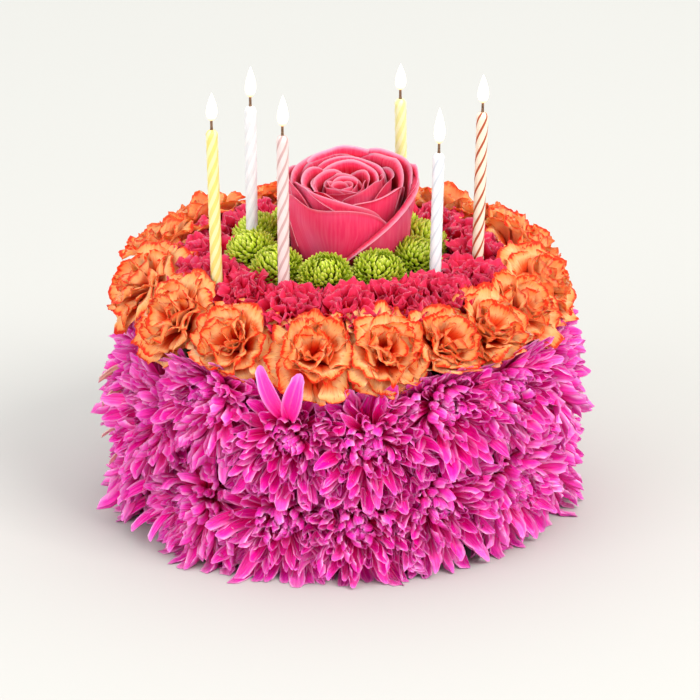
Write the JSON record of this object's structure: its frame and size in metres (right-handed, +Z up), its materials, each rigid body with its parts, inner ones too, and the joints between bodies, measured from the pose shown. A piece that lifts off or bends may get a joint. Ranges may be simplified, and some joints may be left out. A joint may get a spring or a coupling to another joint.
{
  "type": "birthday cake made of fresh flowers",
  "caption": "Round birthday cake of fresh flower heads on a foam drum: chrysanthemum sides, carnation rings, button poms, an open rose in the middle, and thin lit candles.",
  "frame": {"origin": "middle of the foam drum's flat underside", "axes": "+Z up along the candles; -Y towards the front of the cake, which the open rose leans to; +X to the right seen from the front"},
  "size_m": [0.2224, 0.2219, 0.2006],
  "materials": {
    "foam": "wet open-cell floral foam, matte",
    "chrysanthemum": "fresh magenta petals, soft satin, paler tips and edges",
    "orange_carnation": "fresh peach-orange petals with red serrated edges",
    "pink_carnation": "fresh crimson-pink ruffled petals with lighter edges",
    "button_pom": "fresh lime-green florets, waxy",
    "rose": "fresh coral-pink petals, velvety, lighter rims",
    "wax_yellow": "pale yellow and white twisted wax, soft gloss",
    "wax_white": "white twisted wax, soft gloss",
    "wax_pink": "pale pink and white twisted wax, soft gloss",
    "wax_striped": "white wax with orange-red spiral stripes, soft gloss"
  },
  "bodies": {
    "root": {"foam_core": "foam", "rose": "rose", "button_poms": "button_pom", "candle_1": "wax_yellow", "candle_2": "wax_white", "candle_3": "wax_pink", "candle_4": "wax_yellow", "candle_5": "wax_white", "candle_6": "wax_striped", "pink_carnation_01": "pink_carnation", "pink_carnation_02": "pink_carnation", "pink_carnation_03": "pink_carnation", "pink_carnation_04": "pink_carnation", "pink_carnation_05": "pink_carnation", "pink_carnation_06": "pink_carnation", "pink_carnation_07": "pink_carnation", "pink_carnation_08": "pink_carnation", "pink_carnation_09": "pink_carnation", "pink_carnation_10": "pink_carnation", "pink_carnation_11": "pink_carnation", "pink_carnations_back": "pink_carnation", "orange_carnation_01": "orange_carnation", "orange_carnation_02": "orange_carnation", "orange_carnation_03": "orange_carnation", "orange_carnation_04": "orange_carnation", "orange_carnation_05": "orange_carnation", "orange_carnation_06": "orange_carnation", "orange_carnation_07": "orange_carnation", "orange_carnation_08": "orange_carnation", "orange_carnation_09": "orange_carnation", "orange_carnation_10": "orange_carnation", "orange_carnation_11": "orange_carnation", "orange_carnation_12": "orange_carnation", "orange_carnation_13": "orange_carnation", "orange_carnation_14": "orange_carnation", "orange_carnations_back": "orange_carnation", "chrysanthemum_upper_01": "chrysanthemum", "chrysanthemum_upper_02": "chrysanthemum", "chrysanthemum_upper_03": "chrysanthemum", "chrysanthemum_upper_04": "chrysanthemum", "chrysanthemum_upper_05": "chrysanthemum", "chrysanthemum_upper_06": "chrysanthemum", "chrysanthemum_upper_07": "chrysanthemum", "chrysanthemum_upper_08": "chrysanthemum", "chrysanthemum_upper_09": "chrysanthemum", "chrysanthemum_upper_10": "chrysanthemum", "chrysanthemum_upper_11": "chrysanthemum", "chrysanthemum_upper_12": "chrysanthemum", "chrysanthemum_upper_13": "chrysanthemum", "chrysanthemum_lower_01": "chrysanthemum", "chrysanthemum_lower_02": "chrysanthemum", "chrysanthemum_lower_03": "chrysanthemum", "chrysanthemum_lower_04": "chrysanthemum", "chrysanthemum_lower_05": "chrysanthemum", "chrysanthemum_lower_06": "chrysanthemum", "chrysanthemum_lower_07": "chrysanthemum", "chrysanthemum_lower_08": "chrysanthemum", "chrysanthemum_lower_09": "chrysanthemum", "chrysanthemum_lower_10": "chrysanthemum", "chrysanthemum_lower_11": "chrysanthemum"}
  },
  "joints": []
}
